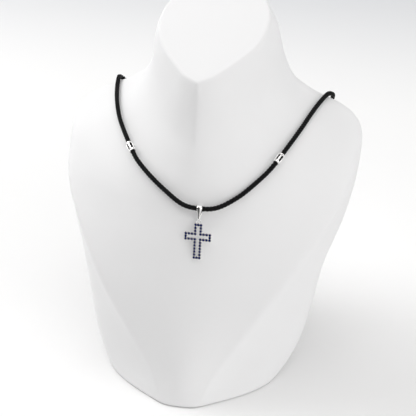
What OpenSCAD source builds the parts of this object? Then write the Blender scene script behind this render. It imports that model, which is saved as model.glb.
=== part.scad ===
// Cross pendant on a braided cord necklace, laid on its plain neck bust.
// Millimetres. +Z is up and the front faces -Y. The origin is the middle of the
// foot, on the surface that the bust stands on.

/* [Bust] */
// Steps of a section from the middle of the front to the crease
front_steps = 8; // [6:1:10]
// Steps from the crease to the side
side_steps = 6; // [4:1:8]
// Steps from the side to the middle of the back
back_steps = 10; // [8:1:12]
// Rings up the bust
bust_rings = 40; // [30:1:46]
// Size of the small round along the edge of the foot
foot_round = 1.5; // [0.5:0.25:2]

/* [Cord] */
// Diameter of the braided cord
cord_d = 2.9; // [2.6:0.1:2.9]
// Steps of the cord's tube between two points of its route
cord_steps = 2; // [1:1:2]

/* [Clasp] */
// Length of each plain cap on an end of the cord
cap_l = 9; // [7:0.5:9]
// Diameter of a cap
cap_d = 4.2; // [4:0.1:4.4]
// Diameter of the barrel between the caps
clasp_d = 4.8; // [4.4:0.1:5]

/* [Beads] */
// Length of a bead
bead_l = 7; // [6:0.25:7.5]
// Diameter of a bead at its middle
bead_d = 4.8; // [4.7:0.05:4.9]
// Diameter of a bead at its ends
bead_end_d = 4; // [3.9:0.05:4.2]
// Width of the bar between two windows
bead_bar = 0.85; // [0.7:0.05:1]
// Windows around a bead
bead_windows = 6; // [5:1:8]

/* [Bail] */
// Width of the bail over the cord
bail_w = 3.2; // [2.8:0.1:3.4]
// Width of the bail where it passes through the ring
bail_foot_w = 0.9; // [0.7:0.05:0.95]
// Thickness of the bail's metal
bail_t = 0.5; // [0.4:0.05:0.55]

/* [Cross] */
// Distance between neighbouring stones
pitch = 1.8; // [1.76:0.01:1.84]
// Distance between the three stones across the end of an arm
end_pitch = 1.56; // [1.54:0.01:1.64]
// Diameter of a stone
stone_d = 1.4; // [1.2:0.02:1.4]
// Width of the metal around a stone
seat_d = 1.8; // [1.76:0.02:1.84]
// Thickness of the cross
cross_t = 1.3; // [1.1:0.1:1.4]
// Lean of the cross from upright, as it lies on the bust
cross_lean = 16; // [15:1:18]

/* [Hidden] */
EPS = 0.01;
CURVE_FN = 48;
SMALL_FN = 24;
up = [0, 0, 1];

// Sections of the bust, from the foot to the neck. Each is level across and rises
// to the back by its tilt. All of them are measured from the tilt line, where y
// is the tilt place and the height is the section's own.
BUST_COLUMNS = ["height", "tilt", "front", "point", "crease x", "crease y",
                "sharp", "side x", "side y", "back"];
BUST = [
    [0,   0,    -78,   0,   12,   -76,   0.2, 54,   -28,  54],
    [16,  0,    -74,   0,   19,   -68.5, 1,   63.5, -18,  59],
    [40,  0,    -69,   0,   35,   -59.5, 1,   69.5, -8,   64],
    [64,  0,    -62,   0,   52,   -50,   1,   74.5, -1,   69],
    [88,  0,    -53,   0,   68.5, -30.5, 0.9, 84,   18,   73],
    [111, 2.5,  -45.5, 0.3, 83,   -0.5,  0.5, 89,   34,   76],
    [125, 9,    -42.5, 0.2, 79,   10.5,  0.1, 90,   42.5, 76],
    [137, 11,   -37.5, 0.1, 63,   16.5,  0,   65,   46,   74],
    [149, 11,   -31.5, 0.3, 44.5, 13,    0,   47,   50.5, 73],
    [167, 16.5, -25.5, 0.5, 28,   2.5,   0,   39,   48.5, 73],
    [183, 17,   -21.5, 0.4, 17.5, -8,    0,   37,   41.5, 73],
    [197, 17,   -20,   1,   10.5, -12.5, 0,   32.5, 31.5, 71],
];
tilt_y = 24;
front_pull = 0.36;
back_pull = 0.42;

// Route of the cord's middle: from the clasp round the left shoulder, down the
// front to the pendant, up the right side and back to the clasp.
ROUTE = [
    [-13, 79, 113], [-19, 79, 113], [-31, 78.5, 115.5], [-42, 78, 120.5],
    [-53, 77.5, 126], [-62, 77, 132], [-67.5, 72, 139.5], [-66, 60, 144],
    [-63, 44, 144.5], [-58.5, 26, 144.5], [-53, 10, 142], [-46, -4.5, 139],
    [-40.5, -14, 136], [-35, -22, 132.5], [-25.5, -31, 128], [-15, -38, 123],
    [-4, -43, 118], [6, -43.5, 116.5], [16, -41.5, 117], [26.5, -34.5, 121],
    [34.5, -27, 126], [41.5, -18.5, 131], [46, -10, 135], [51, 2, 139.5],
    [55.5, 16, 143], [59, 31.5, 145], [62, 46, 145.5], [65.5, 60.5, 145],
    [67.5, 71, 140], [66, 76, 133.5], [58, 77.5, 126.5], [45.5, 78, 120.5],
    [32, 78.5, 115.5], [19, 79, 113], [13, 79, 113],
];
LEFT_BEAD = 12;
RIGHT_BEAD = 22;
PENDANT = 17;
cord_sides = 8;

clasp_l = ROUTE[len(ROUTE) - 1].x - ROUTE[0].x;
clasp_at = [0, ROUTE[0].y, ROUTE[0].z];

bead_bore_d = cord_d + 0.5;
window_l = bead_l - 2.6;
window_w = PI * bead_end_d / bead_windows - bead_bar;

// The ring on the cross and the bail, in the plane of the bail
cross_at = [6.3, -49.8, 101.7];
ring_r = 1.2;
ring_wire = 0.6;
ring_up = 9.2;
bail_gap = 0.2;
bail_taper = 0.6;
bail_top_r = cord_d / 2 + 0.4;
bail_foot_r = ring_wire / 2 + bail_gap;

// Distance of the stones from the middle of the cross, along an arm
arm_far = end_pitch + 3 * pitch;
foot_far = end_pitch + 6 * pitch;
seat_gap = 0.03;
stone_top = 0.25;
stone_girdle = 0.1;
stone_deep = 0.6;
table_share = 0.6;
bar_w = 1.3;
prong_d = 0.42;
prong_h = 0.3;
prong_out = 0.66;
STONE_COUNT = 38;

function two_digits(i) = i < 10 ? str("0", i) : str(i);
function stone_name(i) = str("stone_", two_digits(i));

function unit(v) = v / norm(v);
function mix(a, b, t) = (1 - t) * a + t * b;

// One column of the bust's table
function column(name) = let (c = search([name], BUST_COLUMNS)[0]) [for (row = BUST) row[c]];

// Slopes that carry a smooth curve through the values v at the heights h and
// never past them
function slope(h, v, i) = (v[i + 1] - v[i]) / (h[i + 1] - h[i]);
function shared_slope(a, b, below, above) =
    a * b <= 0 ? 0
    : 3 * (below + above) / ((below + 2 * above) / a + (2 * below + above) / b);
function slopes(h, v) =
    let (last = len(h) - 1)
    [for (i = [0:last])
        i == 0 ? slope(h, v, 0)
        : i == last ? slope(h, v, last - 1)
        : shared_slope(slope(h, v, i - 1), slope(h, v, i), h[i] - h[i - 1], h[i + 1] - h[i])];

// Value between rows i and i + 1, t of the way up
function between(h, v, m, i, t) =
    let (rise = h[i + 1] - h[i], s = t * t * (3 - 2 * t))
    mix(v[i], v[i + 1], s)
    + rise * t * (1 - t) * ((1 - t) * m[i] - t * m[i + 1]);

function bezier(a, b, c, d, n) =
    [for (i = [0:n])
        let (t = i / n, u = 1 - t)
        u * u * u * a + 3 * u * u * t * b + 3 * u * t * t * c + t * t * t * d];

// Arc from p to q that leaves along from_dir and arrives along to_dir
function arc_between(p, q, from_dir, to_dir, pull, n) =
    let (reach = pull * norm(q - p))
    bezier(p, p + reach * from_dir, q - reach * to_dir, q, n);

function without_first(list) = [for (i = [1:len(list) - 1]) list[i]];

// Right half of a section: front, crease, side and back
function half_section(front, point, crease, sharp, side, back) =
    let (in_dir = unit(crease - front),
         out_dir = unit(side - crease),
         along = unit(in_dir + out_dir),
         start = unit(mix([1, 0], in_dir, point)),
         arrive = unit(mix(along, in_dir, sharp)),
         leave = unit(mix(along, out_dir, sharp)))
    concat(arc_between(front, crease, start, arrive, front_pull, front_steps),
           without_first(arc_between(crease, side, leave, [0, 1], front_pull, side_steps)),
           without_first(arc_between(side, back, [0, 1], [-1, 0], back_pull, back_steps)));

function both_halves(half) =
    concat(half, [for (i = [len(half) - 2:-1:1]) [-half[i].x, half[i].y]]);

BUST_H = column("height");
BUST_V = [for (name = BUST_COLUMNS) column(name)];
BUST_M = [for (v = BUST_V) slopes(BUST_H, v)];

// Flat outline at row i and t of the way to the next, and its own height and tilt
function bust_values(i, t) =
    [for (c = [0:len(BUST_V) - 1]) between(BUST_H, BUST_V[c], BUST_M[c], i, t)];
function value(values, name) = values[search([name], BUST_COLUMNS)[0]];
function bust_outline(s) =
    both_halves(half_section([0, value(s, "front")], value(s, "point"),
                             [value(s, "crease x"), value(s, "crease y")], value(s, "sharp"),
                             [value(s, "side x"), value(s, "side y")], [0, value(s, "back")]));
function leaned(outline, height, tilt) =
    [for (p = outline) [p.x, p.y, height + (p.y - tilt_y) * tan(tilt)]];

function bust_ring(k) =
    let (place = k * (len(BUST) - 1) / (bust_rings - 1),
         i = min(floor(place), len(BUST) - 2),
         t = place - i,
         s = bust_values(i, t))
    leaned(bust_outline(s), mix(BUST_H[i], BUST_H[i + 1], t), value(s, "tilt"));

// Foot outline drawn in by the amount inset and lifted to the height z
function foot_ring(inset, z) =
    let (s = bust_values(0, 0),
         half_w = value(s, "side x"),
         half_l = (value(s, "back") - value(s, "front")) / 2,
         middle = (value(s, "back") + value(s, "front")) / 2)
    [for (p = bust_outline(s))
        [p.x * (1 - inset / half_w), middle + (p.y - middle) * (1 - inset / half_l), z]];

// Closed solid through rings of equal length, each end closed to one point
module skin(rings, low, high) {
    n = len(rings[0]);
    top = 1 + (len(rings) - 1) * n;
    polyhedron(
        points = concat([low], [for (ring = rings) each ring], [high]),
        faces = concat(
            [for (j = [0:n - 1]) [0, 1 + j, 1 + (j + 1) % n]],
            [for (i = [0:len(rings) - 2], j = [0:n - 1])
                let (a = 1 + i * n + j, b = 1 + i * n + (j + 1) % n)
                each [[a, a + n, b + n], [a, b + n, b]]],
            [for (j = [0:n - 1]) [top + j, top + n, top + (j + 1) % n]]));
}

// Middle of a ring of points
function middle_of(ring) = [for (i = [0:len(ring) - 1]) 1] * ring / len(ring);

module bust() {
    rings = concat(
        [foot_ring(foot_round, 0), foot_ring(foot_round / 3, foot_round / 3), foot_ring(0, foot_round)],
        [for (k = [1:bust_rings - 1]) bust_ring(k)]);
    color("white")
        skin(rings, middle_of(rings[0]), middle_of(rings[len(rings) - 1]));
}

// Smooth curve through the points of a route
function route_point(i) =
    i < 0 ? 2 * ROUTE[0] - ROUTE[1]
    : i >= len(ROUTE) ? 2 * ROUTE[len(ROUTE) - 1] - ROUTE[len(ROUTE) - 2]
    : ROUTE[i];
function on_route(i, t) =
    let (a = route_point(i - 1), b = route_point(i), c = route_point(i + 1), d = route_point(i + 2))
    0.5 * (2 * b + (c - a) * t + (2 * a - 5 * b + 4 * c - d) * t * t
           + (3 * b - a - 3 * c + d) * t * t * t);
function along_route(i) = unit(route_point(i + 1) - route_point(i - 1));

function cord_ring(at, dir) =
    let (side = unit(cross(dir, up)), rise = cross(side, dir))
    [for (j = [0:cord_sides - 1])
        let (angle = 360 * (j + 0.5) / cord_sides)
        at + cord_d / 2 * (cos(angle) * side + sin(angle) * rise)];

// The cord from one point of its route to another. Each end is cut square to the
// route, so that the two halves meet face to face under the bail.
module cord(first, last) {
    path = concat([for (i = [first:last - 1], k = [0:cord_steps - 1]) on_route(i, k / cord_steps)],
                  [ROUTE[last]]);
    n = len(path);
    rings = [for (i = [0:n - 1])
        cord_ring(path[i], i == 0 ? along_route(first) : i == n - 1 ? along_route(last)
                  : unit(path[i + 1] - path[i - 1]))];
    color("#17171a") skin(rings, path[0], path[n - 1]);
}

// Turns the Z axis of its child to the direction dir and moves it to the place at
module aimed(at, dir) {
    translate(at)
        rotate([0, acos(dir.z), atan2(dir.y, dir.x)])
            children();
}

// One closed piece: a plain barrel between two caps
module clasp() {
    color("silver")
        aimed(clasp_at, [1, 0, 0]) {
            cylinder(d = cap_d, h = clasp_l, center = true, $fn = CURVE_FN);
            cylinder(d = clasp_d, h = clasp_l - 2 * cap_l, center = true, $fn = CURVE_FN);
        }
}

// Barrel with its rounded windows, threaded on the cord
module bead(i) {
    bulge = (bead_d - bead_end_d) / 2;
    round_r = (bead_l * bead_l / 4 + bulge * bulge) / (2 * bulge);
    color("silver")
        aimed(ROUTE[i], along_route(i))
            difference() {
                rotate_extrude($fn = CURVE_FN)
                    difference() {
                        intersection() {
                            translate([bead_d / 2 - round_r, 0]) circle(r = round_r, $fn = 4 * CURVE_FN);
                            translate([0, -bead_l / 2]) square([bead_d, bead_l]);
                        }
                        translate([-EPS, -bead_l]) square([bead_bore_d / 2 + EPS, 2 * bead_l]);
                    }
                for (w = [0:bead_windows - 1])
                    rotate([0, 0, w * 360 / bead_windows]) bead_window();
            }
}

// Slot with round ends, cut from the bore outwards
module bead_window() {
    straight = window_l - window_w;
    translate([0, -window_w / 2, -straight / 2]) cube([bead_d, window_w, straight]);
    for (s = [-1, 1])
        translate([0, 0, s * straight / 2])
            rotate([0, 90, 0])
                cylinder(d = window_w, h = bead_d, $fn = SMALL_FN);
}

// Outline round two circles: radius r1 at the start, r2 at the distance far
// along +X, joined by straight sides
function arc_points(at, r, from, to, n) =
    [for (k = [0:n]) let (angle = mix(from, to, k / n)) at + r * [cos(angle), sin(angle)]];
function loop_outline(r1, r2, far) =
    let (touch = acos((r1 - r2) / far))
    concat(arc_points([0, 0], r1, touch, 360 - touch, 24),
           arc_points([far, 0], r2, -touch, touch, 12));

function cross_down() = [0, -sin(cross_lean), -cos(cross_lean)];

// Flat loop over the cord and through the ring, tapered to the ring
module bail() {
    top = ROUTE[PENDANT];
    foot = cross_at - (ring_up + ring_r) * cross_down();
    far = norm([foot.y - top.y, foot.z - top.z]);
    drop = atan2(foot.z - top.z, foot.y - top.y);
    color("silver")
        translate([cross_at.x, top.y, top.z])
            rotate([drop, 0, 0])
                intersection() {
                    rotate([90, 0, 90])
                        difference() {
                            linear_extrude(bail_w, center = true)
                                polygon(loop_outline(bail_top_r + bail_t, bail_foot_r + bail_t, far));
                            linear_extrude(2 * bail_w, center = true)
                                polygon(loop_outline(bail_top_r, bail_foot_r, far));
                        }
                    linear_extrude(4 * bail_w, center = true)
                        polygon(bail_front(far));
                }
}

// Leaf outline of the bail from its front, in the bail's own plane
function bail_front(far) =
    let (head = bail_top_r + bail_t,
         tail = far + bail_foot_r + bail_t,
         half = bail_w / 2,
         foot = bail_foot_w / 2,
         side = [[foot, -head], [half, -bail_taper * head], [half, bail_taper],
                 [foot, far - bail_taper], [foot, tail + EPS]])
    concat(side, [for (i = [len(side) - 1:-1:0]) [-side[i].x, side[i].y]]);

// Places of the stones on the cross, clockwise from the top middle. X is to the
// right and Y is up, from the middle of the cross.
function row_to(from, step, count) = [for (k = [1:count]) from + k * step];
CORNER = end_pitch;
STONES = concat(
    [[0, arm_far], [CORNER, arm_far]],
    row_to([CORNER, arm_far], [0, -pitch], 3),
    row_to([CORNER, CORNER], [pitch, 0], 3),
    [[arm_far, 0], [arm_far, -CORNER]],
    row_to([arm_far, -CORNER], [-pitch, 0], 3),
    row_to([CORNER, -CORNER], [0, -pitch], 6),
    [[0, -foot_far], [-CORNER, -foot_far]],
    row_to([-CORNER, -foot_far], [0, pitch], 6),
    row_to([-CORNER, -CORNER], [-pitch, 0], 3),
    [[-arm_far, 0], [-arm_far, CORNER]],
    row_to([-arm_far, CORNER], [pitch, 0], 3),
    row_to([-CORNER, CORNER], [0, pitch], 3));

// Puts a child that is drawn flat, facing +Z with Y up, where the cross hangs
module on_cross() {
    translate(cross_at)
        rotate([90 - cross_lean, 0, 0])
            children();
}

// Bar of metal from one stone's place to the next
module bar(a, b) {
    d = b - a;
    translate([a.x, a.y, -cross_t / 2])
        rotate([0, 0, atan2(d.y, d.x)])
            translate([0, -bar_w / 2, 0])
                cube([norm(d), bar_w, cross_t]);
}

// The two small prongs between one stone and the next
module prong_pair(a, b) {
    d = unit(b - a);
    for (s = [-1, 1]) {
        p = (a + b) / 2 + s * prong_out * [-d.y, d.x];
        translate([p.x, p.y, 0])
            cylinder(d = prong_d, h = cross_t / 2 + prong_h, $fn = SMALL_FN);
    }
}

module cross_frame() {
    color("silver")
        on_cross() {
            difference() {
                union() {
                    for (i = [0:STONE_COUNT - 1]) {
                        next = STONES[(i + 1) % STONE_COUNT];
                        translate([STONES[i].x, STONES[i].y, -cross_t / 2])
                            cylinder(d = seat_d, h = cross_t, $fn = SMALL_FN);
                        bar(STONES[i], next);
                        prong_pair(STONES[i], next);
                    }
                    translate([0, ring_up, 0])
                        rotate_extrude($fn = CURVE_FN)
                            translate([ring_r, 0]) circle(d = ring_wire, $fn = SMALL_FN);
                }
                for (p = STONES)
                    translate([p.x, p.y, cross_t / 2 - stone_deep - stone_girdle - seat_gap])
                        cylinder(d = stone_d + 2 * seat_gap, h = cross_t, $fn = SMALL_FN);
            }
        }
}

function stone_ring(d, z) =
    [for (j = [0:7]) [d / 2 * cos(45 * j), d / 2 * sin(45 * j), z]];

// Round cut stone: a table, a crown and a pavilion of eight facets each
module stone(i) {
    p = STONES[i - 1];
    color("#1c2340")
        on_cross()
            translate([p.x, p.y, cross_t / 2])
                skin([stone_ring(stone_d, -stone_girdle), stone_ring(stone_d, 0),
                      stone_ring(table_share * stone_d, stone_top)],
                     [0, 0, -stone_girdle - stone_deep], [0, 0, stone_top]);
}

bust();
cord(0, PENDANT);  // cord_left
cord(PENDANT, len(ROUTE) - 1);  // cord_right
clasp();
bead(LEFT_BEAD);  // bead_left
bead(RIGHT_BEAD);  // bead_right
bail();
cross_frame();
for (i = [1:STONE_COUNT])
    stone(i);
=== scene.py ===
"""Cross pendant on a braided cord necklace, laid on its plain neck bust."""

from math import acos, atan2, cos, pi, radians, sin, sqrt

import bmesh
import bpy
from bpy.props import FloatProperty, FloatVectorProperty, IntProperty, PointerProperty
from bpy.types import Operator, Panel, PropertyGroup
from mathutils import Matrix, Vector
from mathutils.geometry import interpolate_bezier


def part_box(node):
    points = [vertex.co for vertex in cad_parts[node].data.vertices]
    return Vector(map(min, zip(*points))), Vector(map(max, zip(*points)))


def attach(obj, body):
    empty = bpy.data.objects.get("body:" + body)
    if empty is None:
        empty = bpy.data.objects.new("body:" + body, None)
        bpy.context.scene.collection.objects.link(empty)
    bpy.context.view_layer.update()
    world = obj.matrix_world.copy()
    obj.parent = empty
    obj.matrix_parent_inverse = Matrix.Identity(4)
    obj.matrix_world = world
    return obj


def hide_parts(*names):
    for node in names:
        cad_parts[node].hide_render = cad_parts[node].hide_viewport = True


bl_info = {
    "name": "Cross Pendant Necklace",
    "version": (1, 0, 0),
    "blender": (4, 5, 0),
    "location": "View3D > Sidebar > Pendant",
    "description": "Builds a cross pendant on a braided cord, laid on its neck bust",
    "category": "Object",
}

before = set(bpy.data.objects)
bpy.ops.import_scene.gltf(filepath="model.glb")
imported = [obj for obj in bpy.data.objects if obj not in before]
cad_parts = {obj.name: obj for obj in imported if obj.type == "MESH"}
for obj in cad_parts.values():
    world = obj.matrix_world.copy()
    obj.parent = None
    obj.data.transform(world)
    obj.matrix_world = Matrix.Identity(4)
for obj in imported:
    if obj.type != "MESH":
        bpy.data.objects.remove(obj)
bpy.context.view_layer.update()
BODY = "root"
MM = 0.001

# Route of the cord's middle: from the clasp round the left shoulder, down the front
# to the pendant, up the right side and back to the clasp
ROUTE = [Vector(point) for point in (
    (-0.013, 0.079, 0.113), (-0.019, 0.079, 0.113), (-0.031, 0.0785, 0.1155),
    (-0.042, 0.078, 0.1205), (-0.053, 0.0775, 0.126), (-0.062, 0.077, 0.132),
    (-0.0675, 0.072, 0.1395), (-0.066, 0.06, 0.144), (-0.063, 0.044, 0.1445),
    (-0.0585, 0.026, 0.1445), (-0.053, 0.01, 0.142), (-0.046, -0.0045, 0.139),
    (-0.0405, -0.014, 0.136), (-0.035, -0.022, 0.1325), (-0.0255, -0.031, 0.128),
    (-0.015, -0.038, 0.123), (-0.004, -0.043, 0.118), (0.006, -0.0435, 0.1165),
    (0.016, -0.0415, 0.117), (0.0265, -0.0345, 0.121), (0.0345, -0.027, 0.126),
    (0.0415, -0.0185, 0.131), (0.046, -0.01, 0.135), (0.051, 0.002, 0.1395),
    (0.0555, 0.016, 0.143), (0.059, 0.0315, 0.145), (0.062, 0.046, 0.1455),
    (0.0655, 0.0605, 0.145), (0.0675, 0.071, 0.14), (0.066, 0.076, 0.1335),
    (0.058, 0.0775, 0.1265), (0.0455, 0.078, 0.1205), (0.032, 0.0785, 0.1155),
    (0.019, 0.079, 0.113), (0.013, 0.079, 0.113),
)]
LEFT_BEAD = 12
PENDANT = 17
RIGHT_BEAD = 22

# Middle of the cross
CROSS_AT = Vector((0.0063, -0.0498, 0.1017))


class PendantView(PropertyGroup):
    azimuth: FloatProperty(
        name="Azimuth", description="Turn of the camera round the bust, to its left side",
        default=radians(10.83), subtype="ANGLE")
    elevation: FloatProperty(
        name="Elevation", description="Height of the camera above the horizon",
        default=radians(30), subtype="ANGLE")
    roll: FloatProperty(
        name="Roll", description="Turn of the camera about its own axis",
        default=radians(0.1), subtype="ANGLE")
    distance: FloatProperty(
        name="Distance", description="From the camera to the place it looks at",
        default=0.9, unit="LENGTH")
    aim: FloatVectorProperty(
        name="Aim", description="Place that the camera looks at",
        default=(0.0007, 0.01002, 0.08599), subtype="TRANSLATION")
    lens: FloatProperty(
        name="Lens", description="Focal length on a sensor 36 mm wide, in millimetres",
        default=127.73)
    floor_colour: FloatVectorProperty(
        name="Floor", description="Colour of the pale floor",
        default=(0.9, 0.9, 0.9), subtype="COLOR", size=3)
    # Painted shade: the floor's colour far behind the bust is darker and bluish, as the light
    # falls off there.
    far_floor_painted_shade: FloatVectorProperty(
        name="Far floor", description="Colour of the floor where it is far behind the bust",
        default=(0.62, 0.635, 0.66), subtype="COLOR", size=3)
    sky_colour: FloatVectorProperty(
        name="Room", description="Colour of the light that comes from all round",
        default=(1, 0.995, 0.99), subtype="COLOR", size=3)
    sky_strength: FloatProperty(
        name="Room light", description="Strength of the light from all round", default=0.35)
    right_box: FloatProperty(
        name="Right box", description="Added light of the soft box at the right", default=1.2)
    left_box: FloatProperty(
        name="Left box", description="Added light of the soft box behind at the left",
        default=1.8)
    top_box: FloatProperty(
        name="Top box", description="Added light of the soft box overhead", default=1.74)
    front_box: FloatProperty(
        name="Front box", description="Added light of the soft box in front at the right",
        default=0.9)
    front_dark: FloatProperty(
        name="Front dark", description="Light taken away in front, round the camera",
        default=0.3)
    box_reach: FloatProperty(
        name="Box reach", description="How far the light of a soft box spreads",
        default=radians(37), subtype="ANGLE")
    key_power: FloatProperty(
        name="Key light", description="Power of the large soft lamp at the left",
        default=3.6, unit="POWER")


class PendantBust(PropertyGroup):
    rim_round: FloatProperty(
        name="Rim", description="Width of the small round along the neck's top edge",
        default=1.6 * MM, unit="LENGTH")
    colour: FloatVectorProperty(
        name="Colour", description="Colour of the matte white shell",
        default=(0.885, 0.885, 0.89), subtype="COLOR", size=3)
    grain: FloatProperty(
        name="Grain", description="Size of the grain in the matte surface",
        default=0.5 * MM, unit="LENGTH")


class PendantCord(PropertyGroup):
    diameter: FloatProperty(
        name="Diameter", description="Outer diameter of the braid",
        default=3 * MM, unit="LENGTH")
    laps: IntProperty(
        name="Laps", description="Turns that each strand makes round the cord", default=52)
    strand_width: FloatProperty(
        name="Strand width", description="Width of one strand of the braid",
        default=1.1 * MM, unit="LENGTH")
    strand_depth: FloatProperty(
        name="Strand depth", description="Thickness of one strand of the braid",
        default=0.6 * MM, unit="LENGTH")
    weave_depth: FloatProperty(
        name="Weave", description="How far a strand rises and sinks as it crosses others",
        default=0.3 * MM, unit="LENGTH")
    colour: FloatVectorProperty(
        name="Colour", description="Colour of the black thread",
        default=(0.0035, 0.0035, 0.004), subtype="COLOR", size=3)


class PendantMetal(PropertyGroup):
    silver: FloatVectorProperty(
        name="Silver", description="Colour of the polished white metal",
        default=(0.93, 0.925, 0.92), subtype="COLOR", size=3)
    bead_length: FloatProperty(
        name="Bead length", description="Length of a bead along the cord",
        default=7 * MM, unit="LENGTH")
    bead_diameter: FloatProperty(
        name="Bead diameter", description="Diameter of a bead at its middle",
        default=4.8 * MM, unit="LENGTH")
    bead_end: FloatProperty(
        name="Bead end", description="Diameter of a bead at its ends",
        default=4 * MM, unit="LENGTH")
    bead_bar: FloatProperty(
        name="Bead bar", description="Width of the bar between two windows",
        default=0.9 * MM, unit="LENGTH")
    bead_windows: IntProperty(
        name="Bead windows", description="Windows round a bead", default=6)
    bail_width: FloatProperty(
        name="Bail width", description="Width of the bail over the cord",
        default=3.2 * MM, unit="LENGTH")
    bail_foot: FloatProperty(
        name="Bail foot", description="Width of the bail in the ring",
        default=0.9 * MM, unit="LENGTH")
    bail_depth: FloatProperty(
        name="Bail metal", description="Thickness of the bail's metal",
        default=0.5 * MM, unit="LENGTH")


class PendantCross(PropertyGroup):
    pitch: FloatProperty(
        name="Pitch", description="Distance between neighbouring stones",
        default=1.8 * MM, unit="LENGTH")
    end_pitch: FloatProperty(
        name="End pitch", description="Distance between the stones across an arm's end",
        default=1.56 * MM, unit="LENGTH")
    lean: FloatProperty(
        name="Lean", description="Lean of the cross from upright",
        default=radians(16), subtype="ANGLE")
    depth: FloatProperty(
        name="Depth", description="Thickness of the frame",
        default=1.3 * MM, unit="LENGTH")
    seat: FloatProperty(
        name="Seat", description="Diameter of the metal round a stone",
        default=1.7 * MM, unit="LENGTH")
    ring_up: FloatProperty(
        name="Ring height", description="Height of the ring above the cross's middle",
        default=9.2 * MM, unit="LENGTH")
    ring_radius: FloatProperty(
        name="Ring radius", description="Radius of the ring to the middle of its wire",
        default=1.2 * MM, unit="LENGTH")
    ring_wire: FloatProperty(
        name="Ring wire", description="Thickness of the ring's wire",
        default=0.6 * MM, unit="LENGTH")
    stone: FloatProperty(
        name="Stone", description="Diameter of a stone",
        default=1.4 * MM, unit="LENGTH")
    stone_colour: FloatVectorProperty(
        name="Stone colour", description="Colour of the dark blue stones",
        default=(0.001, 0.013, 0.11), subtype="COLOR", size=3)


class Sum:
    """A shader socket that takes part in ordinary sums."""

    def __init__(self, finish, socket):
        self.finish = finish
        self.socket = socket

    def maths(self, operation, *terms):
        return self.finish.node("ShaderNodeMath", {"operation": operation}, dict(enumerate(terms)))

    def __add__(self, other):
        return self.maths("ADD", self, other)

    def __mul__(self, other):
        return self.maths("MULTIPLY", self, other)

    def sine(self):
        return self.maths("SINE", self)

    __radd__ = __add__
    __rmul__ = __mul__


class Nodes:
    """A node tree that is written as sums and calls."""

    def __init__(self, tree):
        self.tree = tree

    def node(self, kind, settings=None, inputs=None, output=0):
        made = self.tree.nodes.new(kind)
        for key, value in (settings or {}).items():
            setattr(made, key, value)
        self.fill(made, inputs or {})
        return Sum(self, made.outputs[output])

    def fill(self, node, inputs):
        for key, value in inputs.items():
            if isinstance(value, Sum):
                self.tree.links.new(value.socket, node.inputs[key])
            else:
                node.inputs[key].default_value = value

    def parts(self, vector):
        """The three parts of a vector, each as a value of its own."""
        split = self.node("ShaderNodeSeparateXYZ", {}, {"Vector": vector}).socket.node
        return [Sum(self, output) for output in split.outputs]


class Finish(Nodes):
    """A material and the nodes that vary it over the surface."""

    def __init__(self, name, constants):
        self.material = bpy.data.materials.new(name)
        self.material.use_nodes = True
        super().__init__(self.material.node_tree)
        self.shader = self.tree.nodes["Principled BSDF"]
        self.feed(constants)

    def feed(self, inputs):
        self.fill(self.shader, inputs)

    def place(self):
        return self.node("ShaderNodeTexCoord", output="Object")

    def noise(self, size, detail=2, place=None):
        """Soft noise from 0 to 1 whose lumps are about the given size."""
        return self.node("ShaderNodeTexNoise", {},
                         {"Vector": place or self.place(), "Scale": 1 / size, "Detail": detail})

    def blend(self, share, first, second):
        return self.node("ShaderNodeMix", {"data_type": "RGBA"},
                         {"Factor": share, "A": (*first, 1), "B": (*second, 1)}, output="Result")

    def bump(self, height, depth, strength):
        return self.node("ShaderNodeBump", {},
                         {"Strength": strength, "Distance": depth, "Height": height})


def shade(colour, factor):
    return tuple(factor * part for part in colour)


def matte_white(sizes):
    """Matte moulded shell: an even white with a fine grain and a faint unevenness."""
    finish = Finish("matte_white", {"Specular IOR Level": 0.25})
    cloud = finish.noise(60 * MM, 3)
    grain = finish.noise(sizes.grain, 3)
    colour = finish.blend(cloud, shade(sizes.colour, 0.97), sizes.colour)
    relief = finish.bump(grain + 3 * finish.noise(8 * MM, 1), 0.03 * MM, 0.5)
    finish.feed({"Base Color": colour, "Roughness": 0.55 + 0.15 * grain, "Normal": relief})
    return finish.material


YARNS = 9
YARN_TURNS = 12


def black_thread(sizes):
    """Waxed black thread: fine yarns run along each strand as a bump, and the colour is painted
    lighter along them as painted glints.
    """
    finish = Finish("black_thread", {"Specular IOR Level": 0.12})
    around, along, _ = finish.parts(finish.node("ShaderNodeUVMap", {"uv_map": "strand"}))
    yarn_ridges_and_glints = 0.5 + 0.5 * (2 * pi * (YARNS * around + YARN_TURNS * along)).sine()
    fuzz = finish.noise(0.15 * MM, 2)
    # Painted highlight: the colour is up to 2.6 times lighter along the yarns' ridges, standing in
    # for glints of light on the thread.
    colour = finish.blend(yarn_ridges_and_glints * fuzz, sizes.colour, shade(sizes.colour, 2.6))
    relief = finish.bump(yarn_ridges_and_glints + 0.5 * fuzz, 0.06 * MM, 0.8)
    finish.feed({"Base Color": colour, "Roughness": 0.42 + 0.2 * fuzz, "Normal": relief})
    return finish.material


def polished_silver(sizes, name="polished_silver", roughness=0.09):
    """Polished white metal with faint rubbed patches and hairline scratches."""
    finish = Finish(name, {"Metallic": 1})
    rubbed = finish.noise(1.5 * MM, 3)
    stretched = finish.node("ShaderNodeMapping", {},
                            {"Vector": finish.place(), "Scale": (6, 1, 1)})
    hairlines = finish.noise(0.6 * MM, 4, stretched)
    finish.feed({
        "Base Color": finish.blend(rubbed, shade(sizes.silver, 0.95), sizes.silver),
        "Roughness": roughness + 0.08 * rubbed,
        "Normal": finish.bump(hairlines, 0.004 * MM, 0.4),
    })
    return finish.material


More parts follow.
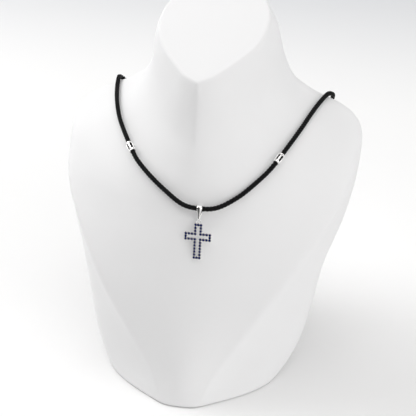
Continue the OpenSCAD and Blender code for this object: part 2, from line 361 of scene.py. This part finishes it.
def dark_blue_stone(sizes):
    """Dark blue cut stone: glossy facets over a colour that is uneven in depth."""
    finish = Finish("dark_blue_stone", {"IOR": 1.77, "Specular IOR Level": 0.05,
                                        "Coat Weight": 0.03, "Coat Roughness": 0.02})
    depth = finish.noise(0.8 * MM, 2)
    finish.feed({
        "Base Color": finish.blend(depth, shade(sizes.stone_colour, 0.5), sizes.stone_colour),
        "Roughness": 0.04 + 0.06 * finish.noise(0.3 * MM, 1),
    })
    return finish.material


# How far behind the bust the painted shade on the floor starts, and where it is darkest
FADE_START = 0.3
FADE_END = 0.75


def pale_floor(sizes):
    """Pale floor with painted shade: it darkens a little far behind the bust, where the light
    falls off.
    """
    finish = Finish("pale_floor", {"Roughness": 0.9, "Specular IOR Level": 0.1})
    _, behind, _ = finish.parts(finish.place())
    share = finish.node("ShaderNodeMapRange", {"interpolation_type": "SMOOTHSTEP"},
                        {"Value": behind, "From Min": FADE_START, "From Max": FADE_END})
    # Painted shade: the colour blends toward the far floor's darker, bluish tone with the distance
    # behind the bust.
    finish.feed({"Base Color": finish.blend(share, sizes.floor_colour, sizes.far_floor_painted_shade)})
    return finish.material


def new_object(name, mesh):
    made = bpy.data.objects.new(name, mesh)
    bpy.context.scene.collection.objects.link(made)
    return made


def to_mesh(bm, name, sharp_angle=None):
    """Turns a bmesh into a mesh that is smooth but for edges past the sharp angle."""
    for face in bm.faces:
        face.smooth = True
    mesh = bpy.data.meshes.new(name)
    bm.to_mesh(mesh)
    bm.free()
    if sharp_angle is not None:
        mesh.set_sharp_from_angle(angle=sharp_angle)
    return mesh


def piece(name, mesh, material, slot, *nodes):
    """A finished piece of the part, which stands for the frame's nodes."""
    made = new_object(name, mesh)
    mesh.materials.clear()
    mesh.materials.append(material)
    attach(made, BODY)
    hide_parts(*nodes)
    return made


SMOOTH_LEVELS = 2
MEND_REACH = 0.001 * MM


def smoothed(made):
    modifier = made.modifiers.new("smooth", "SUBSURF")
    modifier.levels = SMOOTH_LEVELS
    modifier.render_levels = SMOOTH_LEVELS


def applied(made, name):
    """The mesh of an object with its modifiers applied."""
    bpy.context.view_layer.update()
    depsgraph = bpy.context.evaluated_depsgraph_get()
    mesh = bpy.data.meshes.new_from_object(made.evaluated_get(depsgraph))
    mesh.name = name
    return mesh


def remove(*objects):
    for old in objects:
        bpy.data.objects.remove(old)


def mend(bm):
    """Joins doubled vertices, then turns every face outwards."""
    bmesh.ops.remove_doubles(bm, verts=bm.verts, dist=MEND_REACH)
    bmesh.ops.recalc_face_normals(bm, faces=bm.faces)


def turned(bm, profile, steps, closed=False):
    """Turns a profile of (radius, height) points round the Z axis into a solid."""
    verts = [bm.verts.new((radius, 0, height)) for radius, height in profile]
    pairs = list(zip(verts, verts[1:]))
    if closed:
        pairs.append((verts[-1], verts[0]))
    edges = [bm.edges.new(pair) for pair in pairs]
    known = set(bm.verts) - set(verts)
    bmesh.ops.spin(bm, geom=verts + edges, cent=(0, 0, 0), axis=(0, 0, 1),
                   angle=2 * pi, steps=steps, use_merge=True)
    return [vert for vert in bm.verts if vert not in known]


def frame_of(along, near):
    """Turn whose Z axis is along and whose Y axis is as close to near as it can be."""
    side = near.cross(along).normalized()
    return Matrix((side, along.cross(side), along)).transposed().to_4x4()


def grown_ring(bm, edges):
    """Extrudes a ring of edges, and gives the vertices and edges of the new ring."""
    grown = bmesh.ops.extrude_edge_only(bm, edges=edges)["geom"]
    ring = [item for item in grown if isinstance(item, bmesh.types.BMVert)]
    edges = [item for item in grown if isinstance(item, bmesh.types.BMEdge)
             and all(vert in ring for vert in item.verts)]
    return ring, edges


def sweep(bm, sides, places):
    """Carries a round outline of radius 1 through the places. Each place is a matrix."""
    ring = bmesh.ops.create_circle(bm, segments=sides, radius=1)["verts"]
    bmesh.ops.transform(bm, matrix=places[0], verts=ring)
    rings = [ring]
    edges = list({edge for vert in ring for edge in vert.link_edges})
    for before, after in zip(places, places[1:]):
        ring, edges = grown_ring(bm, edges)
        bmesh.ops.transform(bm, matrix=after @ before.inverted(), verts=ring)
        rings.append(ring)
    return rings


CURVE_STEPS = 16
POINTS_A_SPAN = 7


def route_direction(i):
    return (ROUTE[i + 1] - ROUTE[i - 1]).normalized()


def route_handle(i):
    """Third of the way that the smooth route runs at one of its points."""
    before = ROUTE[i - 1] if i > 0 else 2 * ROUTE[0] - ROUTE[1]
    after = ROUTE[i + 1] if i < len(ROUTE) - 1 else 2 * ROUTE[-1] - ROUTE[-2]
    return (after - before) / 6


def route_curve():
    data = bpy.data.curves.new("cord_route", "CURVE")
    data.dimensions = "3D"
    data.resolution_u = CURVE_STEPS
    spline = data.splines.new("BEZIER")
    spline.bezier_points.add(len(ROUTE) - 1)
    for i, knot in enumerate(spline.bezier_points):
        knot.handle_left_type = "FREE"
        knot.handle_right_type = "FREE"
        knot.co = ROUTE[i]
        knot.handle_left = ROUTE[i] - route_handle(i)
        knot.handle_right = ROUTE[i] + route_handle(i)
    return new_object("cord_route", data)


def route_points():
    """Points along the whole route, close together."""
    points = [ROUTE[0]]
    for i in range(len(ROUTE) - 1):
        points += interpolate_bezier(
            ROUTE[i], ROUTE[i] + route_handle(i), ROUTE[i + 1] - route_handle(i + 1),
            ROUTE[i + 1], POINTS_A_SPAN)[1:]
    return points


STRANDS_EACH_WAY = 4
RINGS_A_LAP = 16
STRAND_SIDES = 8


def strand_places(sizes, lap, number, way):
    """Places along one lap of a strand, which passes over two others and under two."""
    middle = sizes.diameter / 2 - sizes.weave_depth - sizes.strand_depth / 2
    swing = way * sizes.weave_depth * (-1) ** number
    places = []
    for ring in range(RINGS_A_LAP + 1):
        share = ring / RINGS_A_LAP
        angle = way * 2 * pi * share + number * 2 * pi / STRANDS_EACH_WAY
        radius = middle + swing * cos(4 * pi * share - way * pi / 4)
        outwards = Vector((0, cos(angle), sin(angle)))
        turning = Vector((0, -sin(angle), cos(angle)))
        along = (Vector((lap, 0, 0)) + way * 2 * pi * middle * turning).normalized()
        width = sizes.strand_width / 2
        depth = sizes.strand_depth / 2
        places.append(
            Matrix.Translation(Vector((share * lap, 0, 0)) + radius * outwards)
            @ frame_of(along, outwards) @ Matrix.Diagonal((width, depth, 1, 1)))
    return places


def braid_lap(sizes, lap):
    """One lap of the braid along +X, open at both ends so that laps join."""
    bm = bmesh.new()
    for way in (1, -1):
        for number in range(STRANDS_EACH_WAY):
            places = strand_places(sizes, lap, number, way)
            map_strand(bm, sweep(bm, STRAND_SIDES, places), places)
    return bm


def map_strand(bm, rings, places):
    """Lays a strand's faces out on the map: U goes round the strand and V along it."""
    layer = bm.loops.layers.uv.get("strand") or bm.loops.layers.uv.new("strand")
    spots = {}
    for step, (ring, place) in enumerate(zip(rings, places)):
        for vert in ring:
            flat = place.inverted() @ vert.co
            spots[vert] = (atan2(flat.y, flat.x) / (2 * pi) % 1, step / (len(places) - 1))
    for face in {face for vert in spots for face in vert.link_faces}:
        across = any(spots[vert][0] > 1 - 1.5 / STRAND_SIDES for vert in face.verts)
        for corner in face.loops:
            around, along = spots[corner.vert]
            corner[layer].uv = (around + (across and around < 0.5), along)


SENSOR_MM = 36
FLOOR_REACH = 4
LAMP_PLACE = Vector((-0.8, 0.15, 0.85))
LAMP_AIM = Vector((0, 0, 0.1))
LAMP_SIZE = 0.7

# Directions from the bust to each soft box, and to the dark side round the camera
RIGHT_BOX = Vector((0.95, -0.2, 0.36))
LEFT_BOX = Vector((-0.87, 0.5, 0.36))
TOP_BOX = Vector((0, 0, 1))
FRONT_BOX = Vector((0.45, -0.75, 0.5))
DARK_SIDE = Vector((-0.45, -0.72, 0.5))
DARK_SPREAD = 1.35


class PENDANT_OT_stage(Operator):
    """Make the pale floor, the soft lights and the camera"""

    bl_idname = "pendant.stage"
    bl_label = "Stage"

    def execute(self, context):
        view = context.scene.pendant_view
        self.camera(context.scene, view)
        self.floor(view)
        self.lights(context.scene, view)
        return {"FINISHED"}

    def camera(self, scene, view):
        flat = Vector((cos(view.azimuth), sin(view.azimuth), 0))
        back = Vector((sin(view.azimuth) * cos(view.elevation),
                       -cos(view.azimuth) * cos(view.elevation), sin(view.elevation)))
        rise = back.cross(flat)
        right = cos(view.roll) * flat + sin(view.roll) * rise
        up = cos(view.roll) * rise - sin(view.roll) * flat
        data = bpy.data.cameras.new("camera")
        data.sensor_width = SENSOR_MM
        data.lens = view.lens
        camera = new_object("camera", data)
        camera.matrix_world = (Matrix.Translation(Vector(view.aim) + view.distance * back)
                               @ Matrix((right, up, back)).transposed().to_4x4())
        scene.camera = camera

    def floor(self, view):
        bm = bmesh.new()
        bmesh.ops.create_grid(bm, x_segments=1, y_segments=1, size=FLOOR_REACH)
        floor = new_object("floor", to_mesh(bm, "floor"))
        floor.data.materials.append(pale_floor(view))

    def lights(self, scene, view):
        """A room with a soft box on each side but the camera's, and a large soft lamp."""
        world = bpy.data.worlds.new("room")
        world.use_nodes = True
        room = Nodes(world.node_tree)
        direction = room.node("ShaderNodeTexCoord", output="Generated")
        light = view.sky_strength
        for toward, added, reach in (
                (RIGHT_BOX, view.right_box, view.box_reach),
                (LEFT_BOX, view.left_box, view.box_reach),
                (TOP_BOX, view.top_box, view.box_reach),
                (FRONT_BOX, view.front_box, view.box_reach),
                (DARK_SIDE, -view.front_dark, DARK_SPREAD * view.box_reach)):
            light = self.soft_box(room, direction, toward.normalized(), added, reach) + light
        room.fill(room.tree.nodes["Background"],
                  {"Color": (*view.sky_colour, 1), "Strength": light})
        scene.world = world
        scene.view_settings.view_transform = "Standard"
        self.lamp(view.key_power)

    def soft_box(self, room, direction, toward, added, reach):
        """Light that is brightest toward a direction and fades out round it."""
        near = room.node("ShaderNodeVectorMath", {"operation": "DOT_PRODUCT"},
                         {0: direction, 1: toward}, output="Value")
        return room.node("ShaderNodeMapRange", {"interpolation_type": "SMOOTHSTEP"},
                         {"Value": near, "From Min": cos(reach), "From Max": 1, "To Min": 0,
                          "To Max": added})

    def lamp(self, power):
        data = bpy.data.lights.new("key", "AREA")
        data.energy = power
        data.shape = "DISK"
        data.size = LAMP_SIZE
        toward = (LAMP_AIM - LAMP_PLACE).normalized()
        turn = toward.to_track_quat("-Z", "Y").to_matrix().to_4x4()
        new_object("key", data).matrix_world = Matrix.Translation(LAMP_PLACE) @ turn


class PENDANT_OT_cord(Operator):
    """Make the round black braid along its whole route"""

    bl_idname = "pendant.cord"
    bl_label = "Braided cord"

    def execute(self, context):
        sizes = context.scene.pendant_cord
        route = route_curve()
        length = route.data.splines[0].calc_length()
        lap = length / sizes.laps
        straight = new_object("straight_braid", to_mesh(braid_lap(sizes, lap), "straight_braid"))
        repeat = straight.modifiers.new("repeat", "ARRAY")
        repeat.count = sizes.laps
        repeat.use_relative_offset = False
        repeat.use_constant_offset = True
        repeat.constant_offset_displace = (lap, 0, 0)
        repeat.use_merge_vertices = True
        repeat.merge_threshold = 0.005 * MM
        bend = straight.modifiers.new("bend", "CURVE")
        bend.object = route
        mesh = applied(straight, "braided_cord")
        remove(straight, route)
        bm = bmesh.new()
        bm.from_mesh(mesh)
        bmesh.ops.holes_fill(bm, edges=[edge for edge in bm.edges if edge.is_boundary])
        bmesh.ops.recalc_face_normals(bm, faces=bm.faces)
        mesh = to_mesh(bm, "braided_cord")
        cord = piece("braided_cord", mesh, black_thread(sizes), "cord", "cord_left", "cord_right")
        [tuple(point) for point in route_points()]
        return {"FINISHED"}


# How far two triangles may bend or differ from a rectangle and still be paired
PAIR_BEND = radians(50)
PAIR_SHAPE = radians(70)

# The neck's top edge bends at least this much, above this share of the height
RIM_BEND = radians(50)
RIM_SHARE = 0.75
RIM_SEGMENTS = 3


def cad_copy(node):
    """The frame's solid with its loose triangles joined and paired into four-sided faces."""
    bm = bmesh.new()
    bm.from_mesh(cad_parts[node].data)
    bmesh.ops.remove_doubles(bm, verts=bm.verts, dist=0.01 * MM)
    bmesh.ops.join_triangles(bm, faces=bm.faces, angle_face_threshold=PAIR_BEND,
                             angle_shape_threshold=PAIR_SHAPE)
    return bm


class PENDANT_OT_bust(Operator):
    """Make the plain white bust, smooth, with a small round along its neck's top edge"""

    bl_idname = "pendant.bust"
    bl_label = "Bust"

    def execute(self, context):
        sizes = context.scene.pendant_bust
        bm = cad_copy("bust")
        top = max(vert.co.z for vert in bm.verts)
        rim = [edge for edge in bm.edges
               if edge.calc_face_angle(0) > RIM_BEND and edge.verts[0].co.z > RIM_SHARE * top]
        bmesh.ops.bevel(bm, geom=rim, offset=sizes.rim_round, offset_type="OFFSET",
                        segments=RIM_SEGMENTS, affect="EDGES", profile=0.5, material=-1,
                        clamp_overlap=True)
        bust = piece("bust_form", to_mesh(bm, "bust_form"), matte_white(sizes), "bust", "bust")
        smoothed(bust)
        return {"FINISHED"}


def bead_ring_columns(bm, verts, sizes):
    """Moves the columns of a 24-sided ring so that bars and windows alternate."""
    turn = pi / sizes.bead_windows
    half_bar = sizes.bead_bar / sizes.bead_end
    for vert in verts:
        angle = atan2(vert.co.y, vert.co.x)
        column = round(angle / (turn / 2)) % 4
        shift = {1: half_bar - turn / 2, 3: turn / 2 - half_bar}.get(column, 0)
        bmesh.ops.rotate(bm, verts=[vert], cent=(0, 0, 0), matrix=Matrix.Rotation(shift, 3, "Z"))


def bead_radius(sizes, z):
    """Radius of the barrel at the height z from its middle."""
    bulge = (sizes.bead_diameter - sizes.bead_end) / 2
    half = sizes.bead_length / 2
    arc = (half * half + bulge * bulge) / (2 * bulge)
    return sizes.bead_diameter / 2 - arc + sqrt(arc * arc - z * z)


# Rows of a bead, the row of its groove and the end of its windows, all in shares of
# half its length
BEAD_ROWS = (-1, -0.9, -0.8, -0.74, -0.6, -0.44, -0.2, 0, 0.2, 0.44, 0.6, 0.74, 0.8, 0.9, 1)
BEAD_GROOVE = 0.8
BEAD_WINDOW_END = 0.62
BEAD_GROOVE_DEPTH = 0.18 * MM
BEAD_METAL = 0.36 * MM


def is_window(sizes, face):
    """Is this face of the barrel in one of its windows?"""
    middle = face.calc_center_median()
    angle = atan2(middle.y, middle.x) * sizes.bead_windows / (2 * pi)
    away = abs(angle - round(angle))
    half_bar = sizes.bead_bar * sizes.bead_windows / (2 * pi * sizes.bead_end)
    return away > half_bar and abs(middle.z) < BEAD_WINDOW_END * sizes.bead_length / 2


def bead_mesh(sizes, i):
    """Barrel bead with rounded windows and a rounded rim at each end."""
    bm = bmesh.new()
    half = sizes.bead_length / 2
    ring = bmesh.ops.create_circle(bm, segments=4 * sizes.bead_windows, radius=1)["verts"]
    bead_ring_columns(bm, ring, sizes)
    edges = list(bm.edges)
    radius = 1
    for row, share in enumerate(BEAD_ROWS):
        if row:
            ring, edges = grown_ring(bm, edges)
        sunk = (abs(share) == BEAD_GROOVE) * BEAD_GROOVE_DEPTH
        wanted = bead_radius(sizes, share * half) - sunk
        bmesh.ops.scale(bm, verts=ring, vec=(wanted / radius, wanted / radius, 1))
        radius = wanted
        rise = share * half - ring[0].co.z
        bmesh.ops.translate(bm, verts=ring, vec=(0, 0, rise))
    holes = [face for face in bm.faces if is_window(sizes, face)]
    bmesh.ops.delete(bm, geom=holes, context="FACES")
    bmesh.ops.recalc_face_normals(bm, faces=bm.faces)
    bmesh.ops.solidify(bm, geom=list(bm.faces), thickness=BEAD_METAL)
    bmesh.ops.recalc_face_normals(bm, faces=bm.faces)
    along = route_direction(i)
    place = (Matrix.Translation(ROUTE[i]) @ Matrix.Rotation(atan2(along.y, along.x), 4, "Z")
             @ Matrix.Rotation(acos(along.z), 4, "Y")
             @ Matrix.Rotation(pi / sizes.bead_windows, 4, "Z"))
    bmesh.ops.transform(bm, matrix=place, verts=bm.verts)
    return to_mesh(bm, "openwork_bead")


CAP_SHARE = 0.875
CAP_LENGTH = 9 * MM
CAP_GROOVES = (1.2 * MM, 2.2 * MM)
CAP_GROOVE_DEPTH = 0.2 * MM


class PENDANT_OT_clasp(Operator):
    """Make the plain closed clasp behind the neck, one piece with its two caps"""

    bl_idname = "pendant.clasp"
    bl_label = "Clasp"

    def execute(self, context):
        low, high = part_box("clasp")
        half = (high.x - low.x) / 2
        barrel = (high.z - low.z) / 2
        cap = CAP_SHARE * barrel
        shoulder = half - CAP_LENGTH
        side = [(0, -half), (cap - 0.5 * MM, -half), (cap - 0.15 * MM, -half + 0.1 * MM),
                (cap, -half + 0.5 * MM)]
        for groove in CAP_GROOVES:
            start = -half + groove
            side += [(cap, start), (cap - CAP_GROOVE_DEPTH, start + 0.15 * MM),
                     (cap - CAP_GROOVE_DEPTH, start + 0.35 * MM), (cap, start + 0.5 * MM)]
        side += [(cap, -shoulder - 0.15 * MM), (cap + 0.04 * MM, -shoulder),
                 (barrel - 0.15 * MM, -shoulder), (barrel, -shoulder + 0.2 * MM),
                 (barrel, -0.25 * MM), (barrel - 0.12 * MM, -0.1 * MM)]
        profile = side + [(radius, -height) for radius, height in reversed(side)]
        bm = bmesh.new()
        turned(bm, profile, 40)
        mend(bm)
        place = Matrix.Translation((low + high) / 2) @ Matrix.Rotation(pi / 2, 4, "Y")
        bmesh.ops.transform(bm, matrix=place, verts=bm.verts)
        silver = polished_silver(context.scene.pendant_metal, "satin_silver", 0.22)
        piece("cord_clasp", to_mesh(bm, "cord_clasp", radians(30)), silver, "clasp", "clasp")
        return {"FINISHED"}


class PENDANT_OT_beads(Operator):
    """Make the two openwork beads that the cord runs through"""

    bl_idname = "pendant.beads"
    bl_label = "Beads"

    def execute(self, context):
        sizes = context.scene.pendant_metal
        silver = polished_silver(sizes)
        for side, i in (("left", LEFT_BEAD), ("right", RIGHT_BEAD)):
            bead = piece(f"openwork_bead_{side}", bead_mesh(sizes, i), silver, "beads",
                         f"bead_{side}")
            smoothed(bead)
        return {"FINISHED"}


TOP_STEPS = 20
FOOT_STEPS = 8
SIDE_SHARES = (0.2, 0.4, 0.6, 0.8)

# The leaf narrows by this share at this height over the cord's middle. Below the
# cord it has its least width this far over the ring's wire, and this share of the
# way there is eased
LEAF_NARROWING = 0.35
LEAF_OVER = 2.3 * MM
LEAF_FOOT = 0.4 * MM
LEAF_EASE = 0.6

# Room that the bail leaves round the cord and round the ring's wire
ROOM_ROUND_CORD = 0.25 * MM
ROOM_ROUND_WIRE = 0.2 * MM
BAIL_SIDES = 14
DOME_SHARE = 0.28


def loop_stations(far, top_radius, foot_radius):
    """Stations round the bail's loop: a place in its plane and the angle outwards."""
    touch = acos((top_radius - foot_radius) / far)
    stations = []
    for step in range(TOP_STEPS + 1):
        angle = touch + step * (2 * pi - 2 * touch) / TOP_STEPS
        stations.append((top_radius * Vector((cos(angle), sin(angle))), angle))
    foot = Vector((far, 0))
    arc = []
    for step in range(FOOT_STEPS + 1):
        angle = -touch + step * 2 * touch / FOOT_STEPS
        arc.append((foot + foot_radius * Vector((cos(angle), sin(angle))), angle))
    front = [(stations[-1][0].lerp(arc[0][0], share), -touch) for share in SIDE_SHARES]
    back = [(arc[-1][0].lerp(stations[0][0], share), touch) for share in SIDE_SHARES]
    return stations + front + arc + back + stations[:1]


def leaf_width(sizes, far, along):
    """Width of the bail at a place along its loop, from the cord to the ring."""
    if along < 0:
        return sizes.bail_width * (1 - LEAF_NARROWING * (along / LEAF_OVER) ** 2)
    share = min(1, along / (far - LEAF_FOOT))
    eased = share * share * (3 - 2 * share)
    mixed = (1 - LEAF_EASE) * share + LEAF_EASE * eased
    return sizes.bail_width + (sizes.bail_foot - sizes.bail_width) * mixed


def domed(spot, dome):
    """Turns a round outline into one with a higher dome outside than inside."""
    height = dome * (1 - spot.x * spot.x) if spot.y > 0 else 0.8 * spot.y
    return Vector((spot.x, height, spot.z))


class PENDANT_OT_bail(Operator):
    """Make the tapered bail: a domed strip that loops over the cord and through the ring"""

    bl_idname = "pendant.bail"
    bl_label = "Bail"

    def execute(self, context):
        sizes = context.scene.pendant_metal
        cross = context.scene.pendant_cross
        cord = context.scene.pendant_cord
        top = Vector((CROSS_AT.x, ROUTE[PENDANT].y, ROUTE[PENDANT].z))
        rise = cross.ring_up + cross.ring_radius
        foot = CROSS_AT + rise * Vector((0, sin(cross.lean), cos(cross.lean)))
        far = (foot - top).length
        half = sizes.bail_depth / 2
        stations = loop_stations(far, cord.diameter / 2 + ROOM_ROUND_CORD + half,
                                 cross.ring_wire / 2 + ROOM_ROUND_WIRE + half)
        down = (foot - top).normalized()
        outwards = Vector((1, 0, 0)).cross(down)
        places = []
        for spot, angle in stations:
            normal = cos(angle) * down + sin(angle) * outwards
            width = leaf_width(sizes, far, spot.x) / 2
            turn = Matrix((Vector((1, 0, 0)), normal, Vector((1, 0, 0)).cross(normal)))
            places.append(Matrix.Translation(top + spot.x * down + spot.y * outwards)
                          @ turn.transposed().to_4x4() @ Matrix.Diagonal((width, half, 1, 1)))
        bm = bmesh.new()
        for ring, place in zip(sweep(bm, BAIL_SIDES, places), places):
            dome = DOME_SHARE * place.to_scale().x / half
            for vert in ring:
                vert.co = place @ domed(place.inverted() @ vert.co, dome)
        mend(bm)
        bail = piece("bail_loop", to_mesh(bm, "bail_loop"), polished_silver(sizes), "bail", "bail")
        smoothed(bail)
        return {"FINISHED"}


def stone_places(sizes):
    """Places of the stones in the cross's own plane, clockwise from the top middle."""
    near = sizes.end_pitch
    arm = near + 3 * sizes.pitch
    foot = near + 6 * sizes.pitch
    places = []

    def row(x, y, step_x, step_y, count):
        for step in range(1, count + 1):
            places.append(Vector((x + step * step_x, y + step * step_y, 0)))

    pitch = sizes.pitch
    row(-near, arm, near, 0, 2)
    row(near, arm, 0, -pitch, 3)
    row(near, near, pitch, 0, 3)
    row(arm, near, 0, -near, 2)
    row(arm, -near, -pitch, 0, 3)
    row(near, -near, 0, -pitch, 6)
    row(near, -foot, -near, 0, 2)
    row(-near, -foot, 0, pitch, 6)
    row(-near, -near, -pitch, 0, 3)
    row(-arm, -near, 0, near, 2)
    row(-arm, near, pitch, 0, 3)
    row(-near, near, 0, pitch, 3)
    return places


def cross_place(sizes):
    """From the cross's own plane, seen with X right and Y up, to where it hangs."""
    return Matrix.Translation(CROSS_AT) @ Matrix.Rotation(pi / 2 - sizes.lean, 4, "X")


STONE_TOP = 0.25 * MM
STONE_GIRDLE = 0.1 * MM
STONE_DEEP = 0.6 * MM
SEAT_GAP = 0.03 * MM
SEAT_EDGE = 0.05 * MM
BAR_WIDTH = 1.2 * MM
BAR_SHARE = 0.94
BAR_EDGE = 0.06 * MM
BAR_CLEAR = 0.02 * MM
PRONG_RADIUS = 0.21 * MM
PRONG_ASIDE = 0.66 * MM


def seat_solid(bm, sizes, spot):
    """Round setting for one stone: a collar with rounded edges round a blind seat."""
    half = sizes.depth / 2
    outer = sizes.seat / 2
    inner = sizes.stone / 2 + SEAT_GAP
    edge = SEAT_EDGE
    floor = half - STONE_DEEP - STONE_GIRDLE - SEAT_GAP
    profile = [(0, -half), (outer - 2 * edge, -half), (outer - 0.5 * edge, -half + 0.5 * edge),
               (outer, -half + 2 * edge), (outer, half - 2 * edge),
               (outer - 0.5 * edge, half - 0.5 * edge), (outer - 2 * edge, half),
               (inner + edge, half), (inner, half - edge), (inner, floor), (0, floor)]
    verts = turned(bm, profile, 24)
    bmesh.ops.translate(bm, verts=verts, vec=spot)


def bar_solid(bm, sizes, start, end):
    """Short bridge of metal from one setting to the next."""
    ahead = (end - start).normalized()
    pocket = sizes.stone / 2 + SEAT_GAP + BAR_CLEAR
    length = (end - start).length - 2 * pocket
    turn = Matrix.Rotation(atan2(ahead.y, ahead.x), 4, "Z")
    place = (Matrix.Translation((start + end) / 2) @ turn
             @ Matrix.Diagonal((length, BAR_WIDTH, BAR_SHARE * sizes.depth, 1)))
    cube = bmesh.ops.create_cube(bm, size=1, matrix=place)["verts"]
    edges = list({edge for vert in cube for edge in vert.link_edges})
    bmesh.ops.bevel(bm, geom=edges, offset=min(BAR_EDGE, length / 3),
                    offset_type="OFFSET", segments=2, affect="EDGES", profile=0.5, material=-1)


def prong_solid(bm, sizes, spot):
    """Small prong with a domed tip that holds two stones."""
    half = sizes.depth / 2
    wide = PRONG_RADIUS
    profile = [(0, -0.3 * half), (wide, -0.3 * half), (wide, half + 0.1 * MM),
               (0.9 * wide, half + 0.18 * MM), (0.62 * wide, half + 0.25 * MM),
               (0.3 * wide, half + 0.29 * MM), (0, half + 0.3 * MM)]
    verts = turned(bm, profile, 12)
    bmesh.ops.translate(bm, verts=verts, vec=spot)


class PENDANT_OT_cross(Operator):
    """Make the open cross: its settings, bridges, prongs and ring, fused into one body"""

    bl_idname = "pendant.cross"
    bl_label = "Cross frame"

    def execute(self, context):
        sizes = context.scene.pendant_cross
        places = stone_places(sizes)
        bm = bmesh.new()
        for start, end in zip(places, places[1:] + places[:1]):
            seat_solid(bm, sizes, start)
            bar_solid(bm, sizes, start, end)
            ahead = (end - start).normalized()
            aside = PRONG_ASIDE * Vector((-ahead.y, ahead.x, 0))
            for way in (-1, 1):
                prong_solid(bm, sizes, (start + end) / 2 + way * aside)
        self.ring(bm, sizes)
        mend(bm)
        parts = new_object("cross_parts", to_mesh(bm, "cross_parts"))
        mesh = self.fused(parts)
        mesh.transform(cross_place(sizes))
        mesh.set_sharp_from_angle(angle=radians(32))
        silver = polished_silver(context.scene.pendant_metal)
        piece("cross_setting", mesh, silver, "cross", "cross_frame")
        return {"FINISHED"}

    def ring(self, bm, sizes):
        """Ring that is soldered on top of the cross, in its plane."""
        wire = sizes.ring_wire / 2
        outline = [(sizes.ring_radius + wire * cos(step * pi / 6), wire * sin(step * pi / 6))
                   for step in range(12)]
        verts = turned(bm, outline, 40, closed=True)
        bmesh.ops.translate(bm, verts=verts, vec=(0, sizes.ring_up, 0))

    def fused(self, parts):
        """One body from the overlapping parts."""
        # A cut with a cube that is clear of the parts fuses them and changes nothing else
        bm = bmesh.new()
        bmesh.ops.create_cube(bm, size=1 * MM)
        bmesh.ops.translate(bm, verts=bm.verts, vec=(0, 0, -9 * MM))
        helper = new_object("helper", to_mesh(bm, "helper"))
        union = parts.modifiers.new("fuse", "BOOLEAN")
        union.operation = "DIFFERENCE"
        union.solver = "EXACT"
        union.use_self = True
        union.object = helper
        mesh = applied(parts, "cross_setting")
        remove(parts, helper)
        return mesh


def cut_stone(bm, sizes):
    """Round brilliant: table, star, crown and girdle facets over a pointed pavilion."""
    radius = sizes.stone / 2
    # Each ring has its corners, its share of the radius, its height and its turn, which
    # is in steps from one corner to the next
    rings = ((8, 0.58, STONE_TOP, 0), (8, 0.82, 0.6 * STONE_TOP, 0.5), (16, 1, 0, 0),
             (16, 1, -STONE_GIRDLE, 0), (8, 0.36, -STONE_GIRDLE - 0.66 * STONE_DEEP, 0.5))
    for sides, share, height, turn in rings:
        place = (Matrix.Translation((0, 0, height))
                 @ Matrix.Rotation(turn * 2 * pi / sides, 4, "Z"))
        bmesh.ops.create_circle(bm, segments=sides, radius=share * radius, matrix=place)
    bmesh.ops.create_circle(bm, segments=8, radius=0.02 * radius,
                            matrix=Matrix.Translation((0, 0, -STONE_GIRDLE - STONE_DEEP)))
    bmesh.ops.delete(bm, geom=list(bm.edges), context="EDGES_FACES")
    hull = bmesh.ops.convex_hull(bm, input=bm.verts)
    spare = [item for item in hull["geom_interior"] if isinstance(item, bmesh.types.BMVert)]
    bmesh.ops.delete(bm, geom=spare, context="VERTS")
    bmesh.ops.dissolve_limit(bm, angle_limit=radians(1), verts=bm.verts, edges=bm.edges)
    bmesh.ops.recalc_face_normals(bm, faces=bm.faces)


class PENDANT_OT_stones(Operator):
    """Make the dark blue stones, each cut and set in its own seat"""

    bl_idname = "pendant.stones"
    bl_label = "Stones"

    def execute(self, context):
        sizes = context.scene.pendant_cross
        blue = dark_blue_stone(sizes)
        for number, spot in enumerate(stone_places(sizes), 1):
            bm = bmesh.new()
            cut_stone(bm, sizes)
            lift = Matrix.Translation(spot + Vector((0, 0, sizes.depth / 2)))
            bmesh.ops.transform(bm, matrix=cross_place(sizes) @ lift, verts=bm.verts)
            name = f"stone_{number:02d}"
            mesh = to_mesh(bm, f"cut_{name}", radians(2))
            piece(f"cut_{name}", mesh, blue, "stones", name)
        return {"FINISHED"}


class PENDANT_PT_panel(Panel):
    """Sizes, colours and pieces of the pendant"""

    bl_idname = "PENDANT_PT_panel"
    bl_label = "Cross pendant"
    bl_space_type = "VIEW_3D"
    bl_region_type = "UI"
    bl_category = "Pendant"

    def draw(self, context):
        for name, group in SETTINGS.items():
            box = self.layout.box()
            for prop in group.__annotations__:
                box.prop(getattr(context.scene, name), prop)
        for item in PIECES:
            self.layout.operator(item.bl_idname)


SETTINGS = {"pendant_view": PendantView, "pendant_bust": PendantBust,
            "pendant_cord": PendantCord, "pendant_metal": PendantMetal,
            "pendant_cross": PendantCross}
PIECES = (PENDANT_OT_stage, PENDANT_OT_clasp, PENDANT_OT_beads, PENDANT_OT_cord, PENDANT_OT_bust,
          PENDANT_OT_bail, PENDANT_OT_cross, PENDANT_OT_stones)
CLASSES = (*SETTINGS.values(), *PIECES, PENDANT_PT_panel)


def register():
    for item in CLASSES:
        bpy.utils.register_class(item)
    for name, group in SETTINGS.items():
        setattr(bpy.types.Scene, name, PointerProperty(type=group))


def unregister():
    for name in SETTINGS:
        delattr(bpy.types.Scene, name)
    for item in reversed(CLASSES):
        bpy.utils.unregister_class(item)


def main():
    register()
    bpy.ops.pendant.stage()
    bpy.ops.pendant.clasp()
    bpy.ops.pendant.beads()
    bpy.ops.pendant.cord()
    bpy.ops.pendant.bust()
    bpy.ops.pendant.bail()
    bpy.ops.pendant.cross()
    bpy.ops.pendant.stones()


if __name__ == "__main__":
    main()
